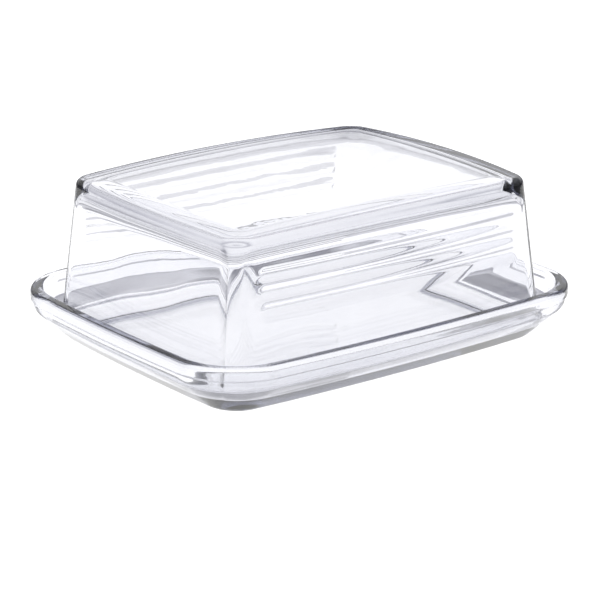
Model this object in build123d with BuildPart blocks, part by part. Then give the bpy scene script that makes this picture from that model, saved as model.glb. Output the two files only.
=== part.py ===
"""Glass butter dish: a shallow tray and a lift-off lid, both of pressed clear glass.

Sizes are in millimetres. The origin is the centre of the tray's foot, at table level:
+X runs along the dish, +Y across it and +Z up. The lid stands on the tray's floor,
just inside the wall, and lifts straight off.
"""
from build123d import *
import os

# Tray from above: a rounded rectangle whose sides bow out a little.
TRAY_LENGTH = 170.0
TRAY_WIDTH = 138.0
TRAY_END_BOW = 2.35
TRAY_SIDE_BOW = 3.7
TRAY_CORNER_RADIUS = 26.0

# Tray across its wall. Depths are measured inwards from the widest line of the rim, and
# the flank runs straight between two points, each given by its depth and its height.
TRAY_HEIGHT = 21.3
RIM_THICKNESS = 4.6
RIM_HEIGHT = 4.0
RIM_STEP = 0.8
RIM_EDGE = 1.6
RIM_CREASE = 0.5
FLANK_TOP = (1.0, 13.7)
FLANK_TOP_BLEND = 5.0
FLANK_FOOT = (14.0, 1.7)
FLANK_FOOT_BLEND = 8.0
FOOT_DEPTH = 19.5
FOOT_RING_WIDTH = 6.5
FOOT_RECESS = 1.2
RECESS_CORNER_RADIUS = 3.5
FLOOR_HEIGHT = 8.0
FLOOR_DEPTH = 9.0
FLOOR_BLEND = 1.0
FLOOR_OVERLAP = 1.0

# Lid from above, at its lip and at the corners of its top.
LID_LENGTH = 147.0
LID_WIDTH = 115.6
LID_TOP_LENGTH = 136.6
LID_TOP_WIDTH = 105.4
LID_END_BOW = 3.5
LID_SIDE_BOW = 2.45
LID_CORNER_RADIUS = 10.0
LID_TOP_CORNER_RADIUS = 9.0

# The lid's hollow has flatter sides and tighter corners than its outside.
INNER_END_BOW = 2.0
INNER_SIDE_BOW = 1.6
INNER_CORNER_RADIUS = 5.0
INNER_TOP_CORNER_RADIUS = 3.5

# Lid from the side. The top is crowned, so its corners are its lowest points.
LID_CORNER_HEIGHT = 60.0
CROWN_LENGTHWISE = 2.0
CROWN_CROSSWISE = 1.5
LID_WALL = 4.3
LID_TOP_THICKNESS = 4.6
TOP_FILLET = 3.4
CEILING_FILLET = 3.2
LIP_FILLET = 1.0

# Grip grooves across each long wall of the lid: round-ended and shallow.
GROOVE_HEIGHTS = (35.5, 41.5, 47.5)
GROOVE_HALF_LENGTH = 54.5
GROOVE_WIDTH = 5.2
GROOVE_DEPTH = 0.7

# Cutters and lofts run this far past the faces that they shape.
OVERRUN = 6.0


def bowed_rectangle(height, length, width, end_bow, side_bow, inset, corner_radius):
    """A level rectangle with bowed sides, moved inwards by an inset, then rounded."""
    corner_x = length / 2 - end_bow
    corner_y = width / 2 - side_bow
    with BuildSketch(Plane.XY.offset(height)) as outline:
        with BuildLine():
            ThreePointArc((corner_x, -corner_y), (length / 2, 0), (corner_x, corner_y))
            ThreePointArc((corner_x, corner_y), (0, width / 2), (-corner_x, corner_y))
            ThreePointArc((-corner_x, corner_y), (-length / 2, 0), (-corner_x, -corner_y))
            ThreePointArc((-corner_x, -corner_y), (0, -width / 2), (corner_x, -corner_y))
        make_face()
        if inset:
            offset(amount=-inset, mode=Mode.REPLACE)
        fillet(outline.vertices(), corner_radius)
    return outline.sketch


def tray_outline(height, inset, corner_radius):
    """The tray's outline, moved inwards by an inset."""
    return bowed_rectangle(
        height, TRAY_LENGTH, TRAY_WIDTH, TRAY_END_BOW, TRAY_SIDE_BOW, inset, corner_radius
    )


def lid_size(height):
    """Length and width over the lid's drafted outer walls at a height."""
    rise = (height - FLOOR_HEIGHT) / (LID_CORNER_HEIGHT - FLOOR_HEIGHT)
    length = LID_LENGTH + (LID_TOP_LENGTH - LID_LENGTH) * rise
    width = LID_WIDTH + (LID_TOP_WIDTH - LID_WIDTH) * rise
    return length, width


def crown(peak_height):
    """A slab whose upper face is the lid's double curve, highest over the origin."""
    reach_x = LID_LENGTH / 2 + OVERRUN
    reach_y = LID_WIDTH / 2 + OVERRUN
    drop_x = CROWN_LENGTHWISE * (2 * reach_x / LID_TOP_LENGTH) ** 2
    drop_y = CROWN_CROSSWISE * (2 * reach_y / LID_TOP_WIDTH) ** 2
    base = -peak_height - OVERRUN
    with BuildPart() as slab:
        with BuildLine(Plane.XZ):
            ridge = ThreePointArc((-reach_x, -drop_x), (0, 0), (reach_x, -drop_x))
        ridge_angle = (ridge % 0).get_angle(ridge % 1)
        section_plane = Plane(ridge @ 0, x_dir=(0, 1, 0), z_dir=ridge % 0)
        with BuildSketch(section_plane):
            with BuildLine():
                rib = ThreePointArc((-reach_y, -drop_y), (0, 0), (reach_y, -drop_y))
                Polyline(rib @ 1, (reach_y, base), (-reach_y, base), rib @ 0)
            make_face()
        revolve(axis=Axis(ridge.arc_center, (0, 1, 0)), revolution_arc=ridge_angle)
    return Pos(0, 0, peak_height) * slab.part


def crowned_block(bottom, wall, end_bow, side_bow, corner_radii, peak_height, edge_fillet):
    """A drafted block, smaller than the lid by a wall all round, with a rounded crowned top."""
    sections = []
    for height, radius in zip((bottom, peak_height + OVERRUN), corner_radii):
        length, width = lid_size(height)
        length -= 2 * wall
        width -= 2 * wall
        sections.append(
            bowed_rectangle(height, length, width, end_bow, side_bow, 0, radius)
        )
    with BuildPart() as block:
        loft(sections, ruled=True)
        add(crown(peak_height), mode=Mode.INTERSECT)
        fillet(block.faces().sort_by(Axis.Z)[-1].edges(), edge_fillet)
    return block.part


# Tray: the wall's section is swept round the widest line, and a floor closes the ring.
rim_foot = TRAY_HEIGHT - RIM_HEIGHT
wall_foot = FOOT_DEPTH + FLOOR_OVERLAP
floor_edge = FOOT_DEPTH + FLOOR_OVERLAP / 2
recess_depth = FOOT_DEPTH + FOOT_RING_WIDTH

with BuildPart() as tray:
    widest_line = tray_outline(0, 0, TRAY_CORNER_RADIUS).wire()
    inwards = Vector(0, 0, 1).cross(widest_line % 0)
    with BuildSketch(Plane(widest_line @ 0, x_dir=inwards, z_dir=widest_line % 0)):
        with BuildLine():
            section = FilletPolyline(
                (FOOT_DEPTH, 0),
                FLANK_FOOT,
                FLANK_TOP,
                (RIM_STEP, rim_foot - RIM_STEP),
                (0, rim_foot),
                (0, TRAY_HEIGHT),
                (RIM_THICKNESS, TRAY_HEIGHT),
                (FLOOR_DEPTH, FLOOR_HEIGHT),
                (wall_foot, FLOOR_HEIGHT),
                radius=(
                    FLANK_FOOT_BLEND,
                    FLANK_TOP_BLEND,
                    RIM_CREASE,
                    RIM_CREASE,
                    RIM_EDGE,
                    RIM_EDGE,
                    FLOOR_BLEND,
                ),
            )
            Polyline(section @ 1, (wall_foot, 0), section @ 0)
        make_face()
    sweep(path=widest_line)
    with BuildSketch():
        add(tray_outline(0, floor_edge, TRAY_CORNER_RADIUS - floor_edge))
    extrude(amount=FLOOR_HEIGHT)
    recess_edge = tray_outline(0, recess_depth, RECESS_CORNER_RADIUS)
    recess_top = tray_outline(FOOT_RECESS, recess_depth + FOOT_RECESS, RECESS_CORNER_RADIUS)
    loft([recess_edge, recess_top], ruled=True, mode=Mode.SUBTRACT)
tray.part.label = "tray"

# Lid: a crowned block hollowed by a smaller one, with a rounded lip and grip grooves.
outer_peak = LID_CORNER_HEIGHT + CROWN_LENGTHWISE + CROWN_CROSSWISE
inner_peak = outer_peak - LID_TOP_THICKNESS
body = crowned_block(
    FLOOR_HEIGHT,
    0,
    LID_END_BOW,
    LID_SIDE_BOW,
    (LID_CORNER_RADIUS, LID_TOP_CORNER_RADIUS),
    outer_peak,
    TOP_FILLET,
)
hollow = crowned_block(
    FLOOR_HEIGHT - OVERRUN,
    LID_WALL,
    INNER_END_BOW,
    INNER_SIDE_BOW,
    (INNER_CORNER_RADIUS, INNER_TOP_CORNER_RADIUS),
    inner_peak,
    CEILING_FILLET,
)
groove_radius = (GROOVE_WIDTH**2 / 4 + GROOVE_DEPTH**2) / (2 * GROOVE_DEPTH)
groove_standoff = groove_radius - GROOVE_DEPTH

with BuildPart() as lid:
    add(body)
    add(hollow, mode=Mode.SUBTRACT)
    fillet(lid.faces().sort_by(Axis.Z)[0].edges(), LIP_FILLET)
    for height in GROOVE_HEIGHTS:
        wall_y = lid_size(height)[1] / 2
        bow = LID_SIDE_BOW * (GROOVE_HALF_LENGTH / (LID_LENGTH / 2 - LID_END_BOW)) ** 2
        for side in (-1, 1):
            with BuildLine(Plane.XY.offset(height)):
                middle = (0, side * (wall_y + groove_standoff))
                left = (-GROOVE_HALF_LENGTH, side * (wall_y + groove_standoff - bow))
                right = (GROOVE_HALF_LENGTH, side * (wall_y + groove_standoff - bow))
                groove_line = ThreePointArc(left, middle, right)
            with BuildSketch(Plane(groove_line @ 0, z_dir=groove_line % 0)):
                Circle(groove_radius)
            sweep(path=groove_line, mode=Mode.SUBTRACT)
            with Locations(groove_line @ 0, groove_line @ 1):
                Sphere(groove_radius, mode=Mode.SUBTRACT)
lid.part.label = "lid"

os.makedirs("parts", exist_ok=True)
for piece in (tray, lid):
    export_step(piece.part, f"parts/{piece.part.label}.step")
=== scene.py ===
import math
from typing import NamedTuple

import bpy
import numpy as np
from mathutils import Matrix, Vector, noise


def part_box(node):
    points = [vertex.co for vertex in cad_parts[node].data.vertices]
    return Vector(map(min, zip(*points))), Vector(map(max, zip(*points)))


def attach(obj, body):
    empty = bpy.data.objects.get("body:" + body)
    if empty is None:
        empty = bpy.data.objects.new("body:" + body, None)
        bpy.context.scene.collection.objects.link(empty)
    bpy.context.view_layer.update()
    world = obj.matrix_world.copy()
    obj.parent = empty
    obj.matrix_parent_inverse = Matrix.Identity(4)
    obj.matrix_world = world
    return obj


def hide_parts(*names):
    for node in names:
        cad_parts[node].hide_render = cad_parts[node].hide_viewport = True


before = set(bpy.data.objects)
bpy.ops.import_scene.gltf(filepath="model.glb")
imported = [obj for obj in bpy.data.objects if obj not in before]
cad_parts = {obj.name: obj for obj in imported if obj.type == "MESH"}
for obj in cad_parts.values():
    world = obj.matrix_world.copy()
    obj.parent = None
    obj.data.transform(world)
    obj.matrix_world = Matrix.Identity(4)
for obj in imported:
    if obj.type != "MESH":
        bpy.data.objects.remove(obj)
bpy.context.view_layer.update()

# Sizes of the object are in millimetres, in the CAD model's frame. A mesh has them in metres.
MM = 0.001

lid_low, lid_high = [np.array(corner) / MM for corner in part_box("lid")]
tray_low, tray_high = [np.array(corner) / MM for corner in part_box("tray")]

# Tray, with the CAD model's sizes. Depths are measured inwards from the widest line of the
# rim, and the flank runs straight between two points, each given by its depth and height.
TRAY_LENGTH, TRAY_WIDTH, TRAY_HEIGHT = tray_high - tray_low
TRAY_CORNER_RADIUS = 26.0
TRAY_BOWS = (2.35, 3.7)
RIM_THICKNESS = 4.6
RIM_HEIGHT = 4.0
RIM_EDGE = 1.6
RIM_STEP = 0.8
RIM_CREASE = 0.5
FLANK_TOP = (1.0, 13.7)
FLANK_FOOT = (14.0, 1.7)
FLANK_TOP_BLEND = 5.0
FLANK_FOOT_BLEND = 8.0
FOOT_DEPTH = 19.5
FOOT_RING_WIDTH = 6.5
FOOT_RECESS = 1.2
RECESS_CORNER_RADIUS = 3.5
FLOOR_HEIGHT = lid_low[2]
FLOOR_DEPTH = 9.0
FLOOR_BLEND = 1.0

# The tray's rings run this far in over its floor, before one grid fills the rest. Each blend
# of its section has this many points, and its rings are no further apart than the spacing.
FLOOR_START = 8.0
BLEND_STEPS = 9
RING_SPACING = 1.0

# Lid: length and width over the outer walls, at the lip and at the corners of the top
LID_SIZE = np.array((147.0, 115.6))
LID_TOP_SIZE = np.array((136.6, 105.4))
LID_CORNER_HEIGHT = 60.0
LID_WALL = 4.3
LID_TOP_THICKNESS = 4.6
CROWN_LENGTHWISE = 2.0
CROWN_CROSSWISE = 1.5
LIP_FILLET = 1.0
LIP_STEPS = 9

# Its walls are drawn from these heights, and have rings that lie closest over the grooves.
OUTSIDE_START = FLOOR_HEIGHT
HOLLOW_START = FLOOR_HEIGHT - 6.0
OUTSIDE_HEIGHTS = np.concatenate(
    [np.linspace(11, 33, 9), np.arange(34.5, 51.6, 0.3), np.linspace(52.5, 54.5, 2)]
)
HOLLOW_HEIGHTS = np.linspace(12, 45, 24)

# Grip grooves. They are cut where a wall's normal has a Y over LONG_WALL, on the long walls.
GROOVE_HEIGHTS = (35.5, 41.5, 47.5)
GROOVE_HALF_LENGTH = 54.5
GROOVE_REACH = 2.9
GROOVE_DEPTH = 0.7
LONG_WALL = 0.9

# Uneven thickness of the pressed lid: how strong the noise is, and how wide its waves are
RIPPLE_DEPTH = 0.25
RIPPLE_WIDTH = 22.0
RIPPLE_SEED = 3.0


class Skin(NamedTuple):
    """One skin of the lid: its outside, which faces 1, or its hollow, which faces -1."""

    facing: int
    wall: float  # how far it lies inside the outer walls
    bows: tuple  # of its ends and of its sides
    start: float  # the height where its upright corners have their low radius
    low_radius: float
    high_radius: float
    crown_radius: float  # of the corners of its crowned face
    peak: float
    fillet: float  # between its walls and its crowned face
    fillet_steps: int
    heights: np.ndarray  # of the rings on its walls


# Both have the CAD model's sizes, but the hollow's ceiling has a wider fillet and rounder
# corners than there.
OUTSIDE = Skin(
    facing=1,
    wall=0.0,
    bows=(3.5, 2.45),
    start=OUTSIDE_START,
    low_radius=10.0,
    high_radius=9.0,
    crown_radius=5.6,
    peak=lid_high[2],
    fillet=3.4,
    fillet_steps=13,
    heights=OUTSIDE_HEIGHTS,
)
HOLLOW = Skin(
    facing=-1,
    wall=LID_WALL,
    bows=(2.0, 1.6),
    start=HOLLOW_START,
    low_radius=5.0,
    high_radius=3.5,
    crown_radius=6.0,
    peak=lid_high[2] - LID_TOP_THICKNESS,
    fillet=8.0,
    fillet_steps=19,
    heights=HOLLOW_HEIGHTS,
)

# Stations of a quarter outline, as shares of the way along its side, its corner and its end.
# Those of the side are closest where the grooves end.
SIDE_STATIONS = np.concatenate(
    [np.linspace(0, 0.82, 23)[:-1], np.linspace(0.82, 0.96, 21)[:-1], np.linspace(0.96, 1, 3)]
)
CORNER_STATIONS = np.linspace(0, 1, 25)
END_STATIONS = np.linspace(0, 1, 23)
TO_CORNER = len(SIDE_STATIONS) - 1 + len(CORNER_STATIONS) // 2
QUARTER = len(SIDE_STATIONS) + len(CORNER_STATIONS) + len(END_STATIONS) - 3
ALL_ROUND = 4 * QUARTER

# Glass. A noise is a scale per metre and a detail, and a skin wave is a scale and a height
# in metres.
GLASS_IOR = 1.51
GLASS_TINTS = [(0.35, (0.975, 0.976, 0.985)), (0.65, (0.99, 0.99, 0.995))]
TINT_NOISE = (45.0, 2.0)
GLASS_HAZE = (0.0, 0.012)
HAZE_NOISE = (120.0, 4.0)
HAZE_START = (0.55, 0.8)
SKIN_WAVES = ((45.0, 0.00006), (260.0, 0.000004))
SKIN_DETAIL = 1.0
DEPTH_TINT = (0.30, 0.32, 0.44, 1)
DEPTH_DENSITY = 23.0

# Studio: the light at each height, from straight down, 0, over level, 0.5, to straight up, 1
CARD_LIGHT = [
    (0.30, (0.70, 0.70, 0.73)),
    (0.48, (0.60, 0.60, 0.63)),
    (0.50, (0.34, 0.34, 0.38)),
    (0.52, (0.62, 0.62, 0.65)),
    (0.535, (0.18, 0.18, 0.21)),
    (0.555, (0.18, 0.18, 0.21)),
    (0.585, (0.80, 0.80, 0.83)),
    (0.63, (0.92, 0.92, 0.93)),
    (0.69, (0.92, 0.92, 0.93)),
    (0.74, (0.52, 0.52, 0.56)),
    (0.82, (0.90, 0.90, 0.92)),
    (0.88, (1.0, 1.0, 1.0)),
]
FLAG_LIGHT = [
    (0.30, (0.70, 0.70, 0.73)),
    (0.49, (0.20, 0.20, 0.23)),
    (0.56, (0.16, 0.16, 0.18)),
    (0.61, (0.44, 0.44, 0.47)),
    (0.66, (0.44, 0.44, 0.47)),
    (0.74, (0.40, 0.40, 0.44)),
    (0.80, (0.72, 0.72, 0.75)),
    (0.90, (0.90, 0.90, 0.92)),
]
CARD_BEARING = math.radians(52.6)
CARD_EDGE = (0.5, 0.8)
WORLD_STRENGTH = 1.25
WHITE = (1, 1, 1, 1)

# White table top, in metres. It lies a little under the foot.
FLOOR_REACH = 0.5
FLOOR_SIDES = 96
FLOOR_DROP = 0.0002
FLOOR_GLOW = 1.13
FLOOR_GREYS = [(0.3, (0.18, 0.18, 0.18)), (0.7, (0.20, 0.20, 0.20))]
GRAIN_NOISE = (400.0, 3.0)

# Camera, in metres, with the lens and the sensor in millimetres
CAMERA_PLACE = (-0.49698, -0.64951, 0.28298)
CAMERA_AIM = (0, 0, 0.0144)
CAMERA_LENS = 142.7
CAMERA_SENSOR = 36.0
CAMERA_REACH = 20.0

# How often light may pass from surface to surface: glass behind glass needs many passes.
GLASS_BOUNCES = 24
GLOSSY_BOUNCES = 12
DIFFUSE_BOUNCES = 4

# The colour sockets of a mix node, by number because other sockets have the same names
MIX_FIRST = 6
MIX_SECOND = 7
MIX_RESULT = 2


def crossing(first_centre, first_reach, second_centre, second_reach):
    """Where two circles cross, at the +X one of their two crossings."""
    gap = second_centre - first_centre
    distance = np.hypot(*gap)
    along = (distance**2 + first_reach**2 - second_reach**2) / (2 * distance)
    aside = math.sqrt(first_reach**2 - along**2)
    unit = gap / distance
    turned = np.array([-unit[1], unit[0]])
    crossings = [first_centre + along * unit + way * turned for way in (aside, -aside)]
    return max(crossings, key=lambda place: place[0])


def bearing(centre, place):
    """The angle, seen from a centre, of a place."""
    return math.atan2(*(place - centre)[::-1])


def mirrored(quarter):
    """A quarter outline's points or normals, mirrored all the way round."""
    forward, back = quarter[:-1], quarter[:0:-1]
    return np.concatenate([forward, back * (1, -1), forward * (-1, -1), back * (-1, 1)])


def outline(size, bows, inset, radius):
    """Points and normals round a bowed rectangle, moved inwards by an inset and rounded.

    They run anticlockwise from the middle of its -Y side.
    """
    length, width = size
    end_bow, side_bow = bows
    corner_x, corner_y = length / 2 - end_bow, width / 2 - side_bow
    side_radius = (corner_x**2 + side_bow**2) / (2 * side_bow)
    end_radius = (corner_y**2 + end_bow**2) / (2 * end_bow)
    side_centre = np.array([0, side_radius - width / 2])
    end_centre = np.array([length / 2 - end_radius, 0])
    side_radius -= inset
    end_radius -= inset
    corner = crossing(side_centre, side_radius - radius, end_centre, end_radius - radius)
    start, end = bearing(side_centre, corner), bearing(end_centre, corner)
    side_angles = -math.pi / 2 + SIDE_STATIONS[:-1] * (start + math.pi / 2)
    corner_angles = start + CORNER_STATIONS[:-1] * (end - start)
    end_angles = end * (1 - END_STATIONS)
    points, normals = [], []
    for centre, reach, angles in (
        (side_centre, side_radius, side_angles),
        (corner, radius, corner_angles),
        (end_centre, end_radius, end_angles),
    ):
        normals.append(np.stack([np.cos(angles), np.sin(angles)], 1))
        points.append(centre + normals[-1] * reach)
    return mirrored(np.concatenate(points)), mirrored(np.concatenate(normals))


def level(points, height):
    """A ring of points at one height, or at a height each."""
    return np.column_stack([points, np.broadcast_to(height, len(points))])


def patch(ring):
    """A grid of points that fills a ring, and the ring's indices along the grid's sides."""
    lengthwise = range(2 * TO_CORNER + 1)
    crosswise = range(2 * (QUARTER - TO_CORNER) + 1)
    low = [(i - TO_CORNER) % ALL_ROUND for i in lengthwise]
    high = [(2 * QUARTER + TO_CORNER - i) % ALL_ROUND for i in lengthwise]
    right = [TO_CORNER + i for i in crosswise]
    left = [(ALL_ROUND - TO_CORNER - i) % ALL_ROUND for i in crosswise]
    first, second, third, fourth = ring[low[0]], ring[low[-1]], ring[high[0]], ring[high[-1]]
    u = ((ring[low, 0] - first[0]) / (second[0] - first[0]))[:, None, None]
    v = ((ring[right, 1] - second[1]) / (fourth[1] - second[1]))[None, :, None]
    grid = (1 - v) * ring[low][:, None] + v * ring[high][:, None]
    grid = grid + (1 - u) * ring[left][None] + u * ring[right][None]
    bottom = (1 - u) * (1 - v) * first + u * (1 - v) * second
    grid = grid - (bottom + (1 - u) * v * third + u * v * fourth)
    return grid, (low, right, high, left)


def band_faces(ring_count):
    """Quads between each ring of a stack and the next."""
    faces = []
    for start in range(0, (ring_count - 1) * ALL_ROUND, ALL_ROUND):
        for here in range(ALL_ROUND):
            there = (here + 1) % ALL_ROUND
            low = (start + here, start + there)
            faces.append((*low, low[1] + ALL_ROUND, low[0] + ALL_ROUND))
    return faces


def fill(ring, ring_start, grid_start, height_of, flip):
    """New points and quads that fill a ring. The starts are the indices of their first points."""
    grid, (low, right, high, left) = patch(ring)
    index = np.full(grid.shape[:2], -1)
    index[:, 0] = ring_start + np.array(low)
    index[:, -1] = ring_start + np.array(high)
    index[0, :] = ring_start + np.array(left)
    index[-1, :] = ring_start + np.array(right)
    inner = grid[1:-1, 1:-1].reshape(-1, 3)
    inner[:, 2] = height_of(inner[:, :2])
    index[1:-1, 1:-1] = grid_start + np.arange(len(inner)).reshape(index[1:-1, 1:-1].shape)
    corners = [index[:-1, :-1], index[1:, :-1], index[1:, 1:], index[:-1, 1:]]
    quads = np.stack(corners[::-1] if flip else corners, -1).reshape(-1, 4)
    return inner, [tuple(quad) for quad in quads.tolist()]


def placed(name, data):
    """A new object of the given mesh or camera, in the scene."""
    piece = bpy.data.objects.new(name, data)
    bpy.context.collection.objects.link(piece)
    return piece


def closed_mesh(name, rings, low_fill, high_fill):
    """A closed mesh through a stack of rings, with a grid across its first and last ring."""
    points = [*rings]
    faces = band_faces(len(rings))
    total = len(rings) * ALL_ROUND
    last = len(rings) - 1
    for ring, height_of, flip in ((0, low_fill, True), (last, high_fill, False)):
        inner, quads = fill(rings[ring], ring * ALL_ROUND, total, height_of, flip)
        points.append(inner)
        faces += quads
        total += len(inner)
    mesh = bpy.data.meshes.new(name)
    mesh.from_pydata(np.concatenate(points) * MM, [], faces)
    mesh.update()
    mesh.shade_smooth()
    return placed(name, mesh)


def crown(points, peak):
    """Height of the lid's double curve over each point."""
    x, y = points[:, 0], points[:, 1]
    half_x, half_y = LID_TOP_SIZE / 2
    return peak - CROWN_LENGTHWISE * (x / half_x) ** 2 - CROWN_CROSSWISE * (y / half_y) ** 2


def lid_size(height):
    """Length and width over the lid's drafted walls at a height."""
    rise = (height - FLOOR_HEIGHT) / (LID_CORNER_HEIGHT - FLOOR_HEIGHT)
    return LID_SIZE + (LID_TOP_SIZE - LID_SIZE) * rise


def lip_rings(skin, wall_at, normals, tilt):
    """A skin's side of the rounded lip, from its lowest line up to the wall."""
    height = FLOOR_HEIGHT + LIP_FILLET
    outwards = skin.facing * normals
    centre = wall_at(height) - outwards * (LIP_FILLET / np.cos(tilt))[:, None]
    rings = []
    for share in np.linspace(0, 1, LIP_STEPS):
        angle = -math.pi / 2 + share * (math.pi / 2 + skin.facing * tilt)
        out = outwards * (LIP_FILLET * np.cos(angle))[:, None]
        rings.append(level(centre + out, height + LIP_FILLET * np.sin(angle)))
    return rings


def fillet_rings(skin, high, lean, start):
    """The fillet between a skin's wall, which tilts by the start angle, and its crowned face.

    The corners' radius changes on the way to that of the crowned face.
    """
    size = lid_size(high) - 2 * skin.wall
    edge, _ = outline(size, skin.bows, skin.fillet, skin.crown_radius)
    centre_height = crown(edge, skin.peak) - skin.fillet
    drift = lean * (centre_height - high)[:, None]
    rings = []
    for share in np.linspace(0, 1, skin.fillet_steps):
        angle = start + share * (math.pi / 2 - start)
        inset = skin.fillet * (1 / math.cos(start) - math.cos(angle))
        widening = skin.crown_radius - skin.high_radius
        radius = skin.high_radius + widening * math.sin(angle) ** 2
        points, _ = outline(size, skin.bows, inset, radius)
        rings.append(level(points + drift, centre_height + skin.fillet * math.sin(angle)))
    return rings


def skin_rings(skin):
    """Rings of a skin from its lip to the edge of its crowned face, and their normals."""
    low, high = skin.start, skin.peak - skin.fillet
    low_points, normals = outline(lid_size(low) - 2 * skin.wall, skin.bows, 0, skin.low_radius)
    high_points, _ = outline(lid_size(high) - 2 * skin.wall, skin.bows, 0, skin.high_radius)
    lean = (high_points - low_points) / (high - low)
    tilt = np.arctan(-(lean * normals).sum(1))

    def wall_at(height):
        return low_points + lean * (height - low)

    rings = lip_rings(skin, wall_at, normals, tilt)
    rings += [level(wall_at(height), height) for height in skin.heights]
    rings += fillet_rings(skin, high, lean, tilt.mean())
    return rings, normals


def carve_grooves(rings, normals):
    """Presses the grip grooves into the rings of the lid's long walls."""
    long_wall = np.abs(normals[:, 1]) > LONG_WALL
    for ring in rings:
        past = np.maximum(np.abs(ring[:, 0]) - GROOVE_HALF_LENGTH, 0)
        for height in GROOVE_HEIGHTS:
            away = np.minimum(np.hypot(past, ring[:, 2] - height) / GROOVE_REACH, 1)
            press = GROOVE_DEPTH * (0.5 + 0.5 * np.cos(math.pi * away)) * long_wall
            ring[:, :2] -= normals * press[:, None]


def ripple(rings, normals):
    """Moves rings along their normals by a slow noise, as the thickness of pressed glass varies."""
    for ring in rings:
        for i, place in enumerate(ring):
            wave = noise.noise(Vector(place) / RIPPLE_WIDTH + Vector((RIPPLE_SEED, 0, 0)))
            ring[i, :2] -= normals[i] * RIPPLE_DEPTH * wave


def build_lid():
    """The lid: one closed mesh, up the hollow's ceiling, round the lip and over the top."""
    outer, outer_normals = skin_rings(OUTSIDE)
    inner, inner_normals = skin_rings(HOLLOW)
    carve_grooves(outer, outer_normals)
    ripple(inner, inner_normals)
    return closed_mesh(
        "lid_glass",
        [*inner[::-1], *outer],
        lambda points: crown(points, HOLLOW.peak),
        lambda points: crown(points, OUTSIDE.peak),
    )


def rounded(path, radii):
    """A path with an arc of its own radius at each of its inner corners."""
    path = [np.array(place, float) for place in path]
    out = [path[0]]
    for before, here, after, radius in zip(path, path[1:], path[2:], radii):
        back, on = before - here, after - here
        back, on = back / np.hypot(*back), on / np.hypot(*on)
        half = math.acos(np.clip(back @ on, -1, 1)) / 2
        turn = math.pi - 2 * half
        start, end = here + back * radius / math.tan(half), here + on * radius / math.tan(half)
        centre = here + (back + on) / np.hypot(*(back + on)) * radius / math.sin(half)
        for share in np.linspace(0, 1, BLEND_STEPS):
            spoke = (start - centre) * math.sin((1 - share) * turn)
            spoke = spoke + (end - centre) * math.sin(share * turn)
            out.append(centre + spoke / math.sin(turn))
    return np.array(out + [path[-1]])


def divided(path):
    """A path with points added so that none is further than a step from the next."""
    out = [path[0]]
    for start, end in zip(path, path[1:]):
        parts = max(1, math.ceil(np.hypot(*(end - start)) / RING_SPACING))
        out += [start + (end - start) * k / parts for k in range(1, parts + 1)]
    return np.array(out)


def tray_section():
    """Depths and heights across the tray's wall, from its foot over the rim to the floor."""
    rim_foot = TRAY_HEIGHT - RIM_HEIGHT
    path = [
        (FOOT_DEPTH, 0),
        FLANK_FOOT,
        FLANK_TOP,
        (RIM_STEP, rim_foot - RIM_STEP),
        (0, rim_foot),
        (0, TRAY_HEIGHT),
        (RIM_THICKNESS, TRAY_HEIGHT),
        (FLOOR_DEPTH, FLOOR_HEIGHT),
        (FLOOR_DEPTH + FLOOR_START, FLOOR_HEIGHT),
    ]
    blends = (
        FLANK_FOOT_BLEND,
        FLANK_TOP_BLEND,
        RIM_CREASE,
        RIM_CREASE,
        RIM_EDGE,
        RIM_EDGE,
        FLOOR_BLEND,
    )
    return divided(rounded(path, blends))


def build_tray():
    """The tray: one closed mesh, from the recess under its foot, over the rim, to its floor."""
    recess = FOOT_DEPTH + FOOT_RING_WIDTH
    places = [
        (recess + FOOT_RECESS, FOOT_RECESS, RECESS_CORNER_RADIUS),
        (recess, 0, RECESS_CORNER_RADIUS),
    ]
    places += [(depth, height, TRAY_CORNER_RADIUS - depth) for depth, height in tray_section()]
    rings = []
    for depth, height, radius in places:
        points, _ = outline((TRAY_LENGTH, TRAY_WIDTH), TRAY_BOWS, depth, radius)
        rings.append(level(points, height))
    return closed_mesh(
        "tray_glass",
        rings,
        lambda points: np.full(len(points), FOOT_RECESS),
        lambda points: np.full(len(points), FLOOR_HEIGHT),
    )


def noise_node(tree, scale, detail):
    """The value of a noise in the piece's own metres."""
    where = tree.nodes.new("ShaderNodeTexCoord")
    texture = tree.nodes.new("ShaderNodeTexNoise")
    texture.inputs["Scale"].default_value = scale
    texture.inputs["Detail"].default_value = detail
    tree.links.new(where.outputs["Object"], texture.inputs["Vector"])
    return texture.outputs["Fac"]


def ramp_node(tree, value, stops):
    """The colour of a ramp with the given places and colours, read at a value."""
    ramp = tree.nodes.new("ShaderNodeValToRGB")
    elements = ramp.color_ramp.elements
    while len(elements) < len(stops):
        elements.new(0.5)
    for element, (place, colour) in zip(elements, stops):
        element.position = place
        element.color = (*colour, 1)
    tree.links.new(value, ramp.inputs["Fac"])
    return ramp.outputs["Color"]


def range_node(tree, value, source, target=(0.0, 1.0), kind="LINEAR"):
    """A value moved from a source range to a target range."""
    ranges = tree.nodes.new("ShaderNodeMapRange")
    ranges.interpolation_type = kind
    ranges.inputs["From Min"].default_value, ranges.inputs["From Max"].default_value = source
    ranges.inputs["To Min"].default_value, ranges.inputs["To Max"].default_value = target
    tree.links.new(value, ranges.inputs["Value"])
    return ranges.outputs["Result"]


def mix_node(tree, share, first):
    """A mix from a first colour to a second one, whose socket is left to be set."""
    mix = tree.nodes.new("ShaderNodeMix")
    mix.data_type = "RGBA"
    tree.links.new(share, mix.inputs["Factor"])
    tree.links.new(first, mix.inputs[MIX_FIRST])
    return mix


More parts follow.
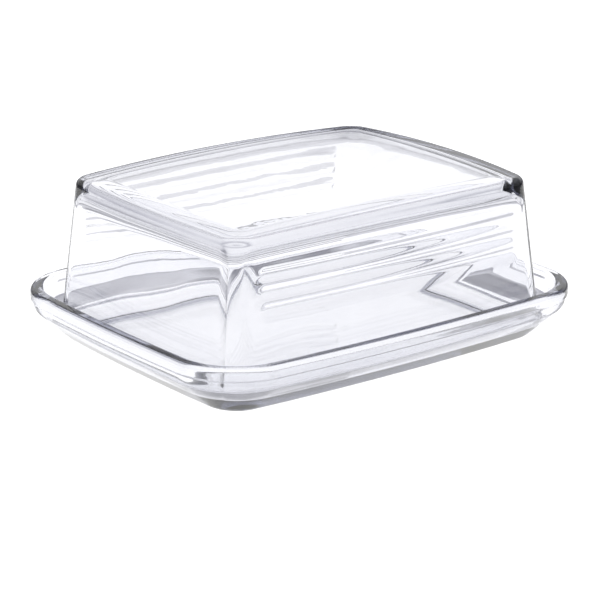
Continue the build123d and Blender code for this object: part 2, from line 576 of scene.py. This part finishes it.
def bump_node(tree, value, height, under):
    """The normal of a skin that rises by a height, on top of the one under it."""
    bump = tree.nodes.new("ShaderNodeBump")
    bump.inputs["Strength"].default_value = 1.0
    bump.inputs["Distance"].default_value = height
    tree.links.new(value, bump.inputs["Height"])
    if under is not None:
        tree.links.new(under, bump.inputs["Normal"])
    return bump.outputs["Normal"]


def new_material(name):
    """A new material, its tree and its shader."""
    material = bpy.data.materials.new(name)
    material.use_nodes = True
    return material, material.node_tree, material.node_tree.nodes["Principled BSDF"]


def glass_material():
    """Clear pressed glass: a wavy, fire-polished skin, and a cool tint that thick edges show."""
    material, tree, shader = new_material("clear_glass")
    shader.inputs["Transmission Weight"].default_value = 1.0
    shader.inputs["IOR"].default_value = GLASS_IOR
    tint = ramp_node(tree, noise_node(tree, *TINT_NOISE), GLASS_TINTS)
    tree.links.new(tint, shader.inputs["Base Color"])
    haze = range_node(tree, noise_node(tree, *HAZE_NOISE), HAZE_START, GLASS_HAZE)
    tree.links.new(haze, shader.inputs["Roughness"])
    skin = None
    for scale, height in SKIN_WAVES:
        skin = bump_node(tree, noise_node(tree, scale, SKIN_DETAIL), height, skin)
    tree.links.new(skin, shader.inputs["Normal"])
    depth = tree.nodes.new("ShaderNodeVolumeAbsorption")
    depth.inputs["Color"].default_value = DEPTH_TINT
    depth.inputs["Density"].default_value = DEPTH_DENSITY
    tree.links.new(depth.outputs["Volume"], tree.nodes["Material Output"].inputs["Volume"])
    return material


def table_material():
    """A white, softly glowing table top whose faint paper grain barely shows."""
    material, tree, shader = new_material("white_table")
    grain = ramp_node(tree, noise_node(tree, *GRAIN_NOISE), FLOOR_GREYS)
    tree.links.new(grain, shader.inputs["Base Color"])
    shader.inputs["Roughness"].default_value = 1.0
    shader.inputs["Specular IOR Level"].default_value = 0.0
    shader.inputs["Emission Color"].default_value = WHITE
    shader.inputs["Emission Strength"].default_value = FLOOR_GLOW
    return material


def card_share(tree, direction):
    """How much a direction looks towards the cards, in front or behind, and not the flags."""
    along = tree.nodes.new("ShaderNodeVectorMath")
    along.operation = "DOT_PRODUCT"
    along.inputs[1].default_value = (math.cos(CARD_BEARING), math.sin(CARD_BEARING), 0)
    tree.links.new(direction, along.inputs[0])
    either_way = tree.nodes.new("ShaderNodeMath")
    either_way.operation = "ABSOLUTE"
    tree.links.new(along.outputs["Value"], either_way.inputs[0])
    return range_node(tree, either_way.outputs["Value"], CARD_EDGE, kind="SMOOTHSTEP")


def world_light():
    """A white studio: bright cards in front and behind, dark flags at the sides, a soft top light.

    The camera itself sees plain white wherever it looks past the floor.
    """
    world = bpy.data.worlds.new("studio")
    bpy.context.scene.world = world
    world.use_nodes = True
    tree = world.node_tree
    direction = tree.nodes.new("ShaderNodeTexCoord").outputs["Generated"]
    split = tree.nodes.new("ShaderNodeSeparateXYZ")
    tree.links.new(direction, split.inputs["Vector"])
    height = range_node(tree, split.outputs["Z"], (-1.0, 1.0))
    cards = ramp_node(tree, height, CARD_LIGHT)
    studio = mix_node(tree, card_share(tree, direction), ramp_node(tree, height, FLAG_LIGHT))
    tree.links.new(cards, studio.inputs[MIX_SECOND])
    path = tree.nodes.new("ShaderNodeLightPath")
    seen = mix_node(tree, path.outputs["Is Camera Ray"], studio.outputs[MIX_RESULT])
    seen.inputs[MIX_SECOND].default_value = WHITE
    background = tree.nodes["Background"]
    tree.links.new(seen.outputs[MIX_RESULT], background.inputs["Color"])
    background.inputs["Strength"].default_value = WORLD_STRENGTH


def build_floor():
    """The white table top: a disc just under the foot."""
    turns = [2 * math.pi * k / FLOOR_SIDES for k in range(FLOOR_SIDES)]
    edge = [(FLOOR_REACH * math.cos(turn), FLOOR_REACH * math.sin(turn), 0) for turn in turns]
    mesh = bpy.data.meshes.new("floor")
    mesh.from_pydata(edge, [], [tuple(range(FLOOR_SIDES))])
    mesh.materials.append(table_material())
    piece = placed("floor", mesh)
    piece.location.z = -FLOOR_DROP


def place_camera():
    """Three-quarter view from a little above, through a long lens."""
    data = bpy.data.cameras.new("camera")
    data.lens = CAMERA_LENS
    data.sensor_width = CAMERA_SENSOR
    data.clip_end = CAMERA_REACH
    piece = placed("camera", data)
    piece.location = CAMERA_PLACE
    piece.rotation_mode = "QUATERNION"
    view = Vector(CAMERA_AIM) - piece.location
    piece.rotation_quaternion = view.to_track_quat("-Z", "Y")
    bpy.context.scene.camera = piece


glass = glass_material()
for piece, node in ((build_tray(), "tray"), (build_lid(), "lid")):
    piece.data.materials.append(glass)
    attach(piece, node)
    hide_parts(node)
world_light()
build_floor()
place_camera()

scene = bpy.context.scene
scene.view_settings.view_transform = "Standard"
scene.cycles.max_bounces = GLASS_BOUNCES
scene.cycles.transmission_bounces = GLASS_BOUNCES
scene.cycles.glossy_bounces = GLOSSY_BOUNCES
scene.cycles.diffuse_bounces = DIFFUSE_BOUNCES
